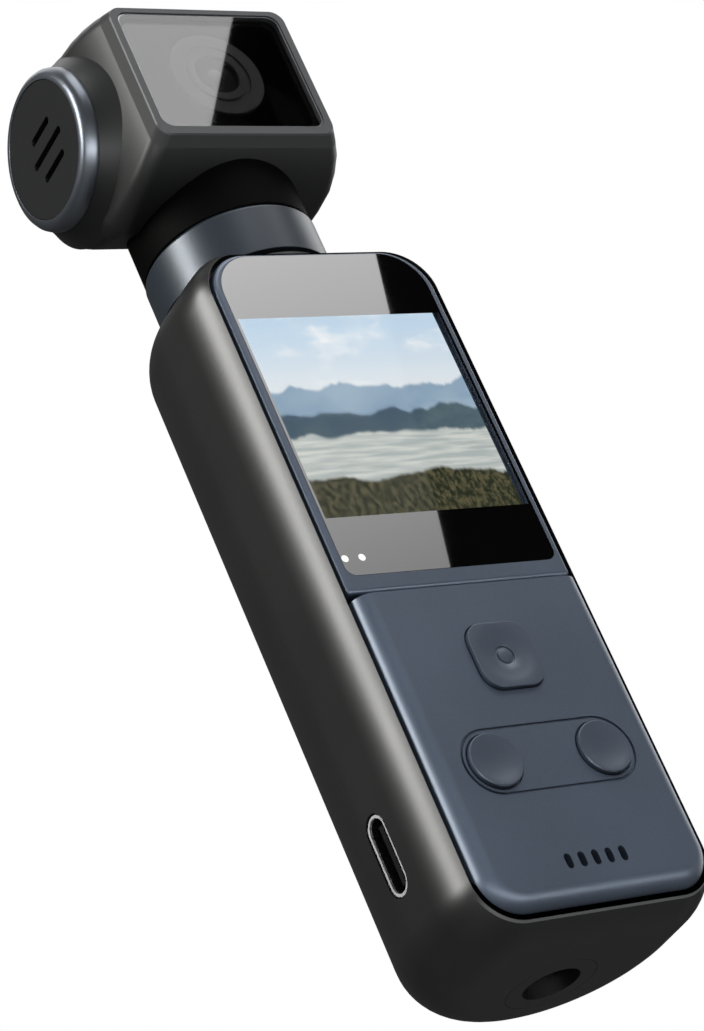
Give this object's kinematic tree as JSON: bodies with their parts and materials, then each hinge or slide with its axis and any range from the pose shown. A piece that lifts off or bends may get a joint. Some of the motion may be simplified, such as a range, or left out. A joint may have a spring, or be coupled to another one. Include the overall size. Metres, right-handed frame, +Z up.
{
  "type": "pocket action camera",
  "caption": "Upright pocket camera with a turning lens head on a neck, a front screen, a key panel below it, a side port and a tripod socket in its base.",
  "frame": {"origin": "centre of the tripod socket's mouth on the base, on the axis that the head turns about", "axes": "+Z up the grip along the tripod socket and the head's turning axis; -Y is the screen and lens side; +X is to the right as seen facing the screen"},
  "size_m": [0.0334, 0.0277, 0.1214],
  "materials": {
    "shell_satin": "dark gunmetal satin paint",
    "cover_satin": "blue-grey satin paint",
    "screen_glass": "black-bordered cover glass, clear over the picture",
    "display": "lit display panel",
    "sheet_metal": "bare pressed sheet",
    "light_pipe": "milky light pipe",
    "key_plastic": "blue-grey fine-textured plastic",
    "silicone": "grey silicone rubber",
    "switch_metal": "bright stamped metal",
    "circuit_board": "green solder mask",
    "screw_steel": "zinc-plated steel",
    "speaker_can": "black moulded plastic",
    "foam_black": "black foam",
    "chip_plastic": "black moulded plastic",
    "connector_plastic": "ivory moulded plastic",
    "battery_wrap": "blue foil pouch",
    "port_steel": "stamped stainless steel",
    "card_plastic": "black plastic",
    "insert_metal": "blackened steel",
    "bush_plastic": "black acetal",
    "ring_satin": "blue-grey satin paint",
    "spindle_alloy": "turned alloy",
    "washer_brass": "spring bronze",
    "frame_satin": "dark satin paint with a bright edge",
    "clear_glass": "clear window glass",
    "mask_black": "black printed mask",
    "lens_ring_satin": "dark grey satin ring",
    "lens_glass": "coated lens glass",
    "sensor_face": "glossy sensor window",
    "flex_film": "amber film",
    "ring_bright": "blue-grey satin metal, brighter on its bevel",
    "cap_satin": "near-black satin plastic"
  },
  "bodies": {
    "grip": {"rear_shell": "shell_satin", "screen_bezel": "cover_satin", "key_panel": "cover_satin", "screen_glass": "screen_glass", "display_panel": "display", "display_holder": "sheet_metal", "indicator_lights": "light_pipe", "key_mat": "silicone", "key_switches": "switch_metal", "key_board": "circuit_board", "key_board_screws": "screw_steel", "speaker": "speaker_can", "speaker_gasket": "foam_black", "main_board": "circuit_board", "main_board_screws": "screw_steel", "main_chips": "chip_plastic", "board_connector": "connector_plastic", "battery": "battery_wrap", "battery_pad": "foam_black", "usb_shell": "port_steel", "usb_tongue": "chip_plastic", "card_socket": "port_steel", "tripod_insert": "insert_metal", "pan_bush": "bush_plastic"},
    "head": {"neck_ring": "ring_satin", "pan_spindle": "spindle_alloy", "spindle_screws": "screw_steel", "friction_washer": "washer_brass", "retaining_clip": "screw_steel", "head_housing": "shell_satin", "head_rear_cover": "shell_satin", "window_frame": "frame_satin", "window_glass": "clear_glass", "window_mask": "mask_black", "lens_ring": "lens_ring_satin", "front_lens": "lens_glass", "lens_barrel": "chip_plastic", "rear_lens": "lens_glass", "lens_holder": "chip_plastic", "image_sensor": "sensor_face", "sensor_board": "circuit_board", "sensor_flex": "flex_film", "side_boss": "shell_satin", "side_ring": "ring_bright", "side_cap": "cap_satin", "microphone": "port_steel"},
    "record_key": {"record_key": "key_plastic"},
    "menu_key": {"menu_key": "key_plastic"},
    "power_key": {"power_key": "key_plastic"},
    "memory_card": {"memory_card": "card_plastic"}
  },
  "joints": [
    {"name": "head_pan", "type": "hinge", "parent": "grip", "child": "head", "pos_m": [0, 0, 0.09], "axis": [0, 0, 1], "range_deg": [-90, 180]},
    {"name": "record_press", "type": "slide", "parent": "grip", "child": "record_key", "axis": [0, 1, 0], "range_m": [0, 0.00035], "stiffness_N_per_m": 400, "springref_m": -0.0005},
    {"name": "menu_press", "type": "slide", "parent": "grip", "child": "menu_key", "axis": [0, 1, 0], "range_m": [0, 0.00035], "stiffness_N_per_m": 400, "springref_m": -0.0005},
    {"name": "power_press", "type": "slide", "parent": "grip", "child": "power_key", "axis": [0, 1, 0], "range_m": [0, 0.00035], "stiffness_N_per_m": 400, "springref_m": -0.0005},
    {"name": "card_slide", "type": "slide", "parent": "grip", "child": "memory_card", "axis": [1, 0, 0], "range_m": [0, 0.008]}
  ]
}
